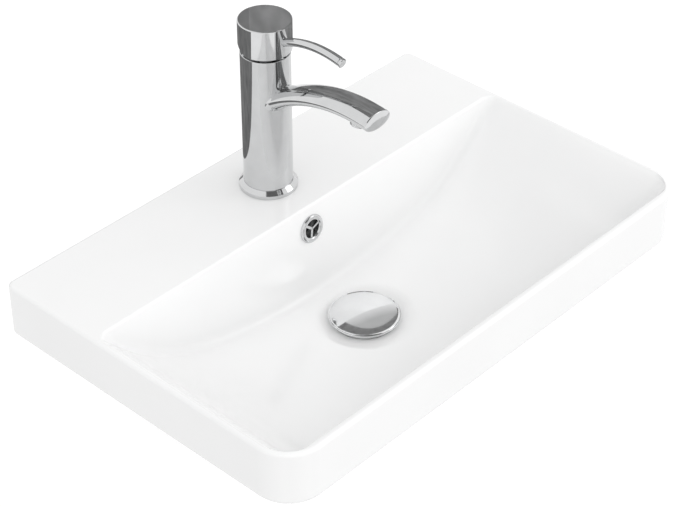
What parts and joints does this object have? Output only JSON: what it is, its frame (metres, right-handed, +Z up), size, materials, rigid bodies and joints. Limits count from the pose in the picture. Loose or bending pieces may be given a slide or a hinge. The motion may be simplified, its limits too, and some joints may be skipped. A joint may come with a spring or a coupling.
{
  "type": "inset basin with mixer tap",
  "caption": "White glazed rectangular inset basin with a hammock bowl, rear tap deck, single-lever mixer tap, overflow ring and push-open waste plug.",
  "frame": {"origin": "middle of the level underside of the rim, on the worktop that carries the basin", "axes": "+Z up, +Y towards the wall behind the tap, +X to the right of a person at the basin"},
  "size_m": [0.56, 0.365, 0.3742],
  "materials": {
    "glaze": "white gloss glaze",
    "chrome": "polished chrome plate",
    "brass": "turned brass",
    "steel": "plain steel",
    "rubber": "black rubber",
    "plastic": "moulded plastic",
    "dark_plastic": "black moulded plastic",
    "disc_ceramic": "lapped ceramic"
  },
  "bodies": {
    "basin": {"basin_body": "glaze", "overflow_ring": "chrome", "overflow_sleeve": "rubber", "waste_body": "chrome", "flange_gasket": "rubber", "boss_gasket": "rubber", "slip_washer": "plastic", "backnut": "brass", "click_housing": "brass", "click_collar": "brass", "plunger_spring": "steel", "tap_body": "chrome", "spout": "chrome", "base_ring": "chrome", "base_seal": "rubber", "aerator_housing": "chrome", "aerator_insert": "plastic", "aerator_washer": "rubber", "cartridge_base": "plastic", "port_seals": "rubber", "cartridge_housing": "plastic", "fixed_disc": "disc_ceramic", "cartridge_nut": "brass", "cartridge_cover": "dark_plastic", "fixing_stud": "brass", "horseshoe_pad": "rubber", "horseshoe_plate": "steel", "fixing_nut": "brass"},
    "carrier": {"stem_carrier": "plastic", "stem_pin": "steel"},
    "handle": {"control_stem": "steel", "handle_cap": "chrome", "lever_rod": "chrome", "handle_screw": "steel"},
    "disc": {"moving_disc": "disc_ceramic"},
    "plug": {"plug_cap": "chrome", "plug_seal": "rubber", "plunger": "brass"}
  },
  "joints": [
    {"name": "lever_turn", "type": "hinge", "parent": "basin", "child": "carrier", "pos_m": [0, 0.117, 0.1953], "axis": [0, 0, 1], "range_deg": [-45, 45]},
    {"name": "lever_lift", "type": "hinge", "parent": "carrier", "child": "handle", "pos_m": [0, 0.117, 0.1953], "axis": [-1, 0, 0], "range_deg": [0, 18]},
    {"name": "disc_slide", "type": "slide", "parent": "carrier", "child": "disc", "axis": [0, -1, 0], "range_m": [0, 0.0026]},
    {"name": "plug_lift", "type": "slide", "parent": "basin", "child": "plug", "axis": [0, 0, 1], "range_m": [0, 0.009], "deforming": ["plunger_spring"]}
  ],
  "couplings": [
    {"joint": "disc_slide", "follows": "lever_lift", "m_per_rad": 0.008}
  ]
}
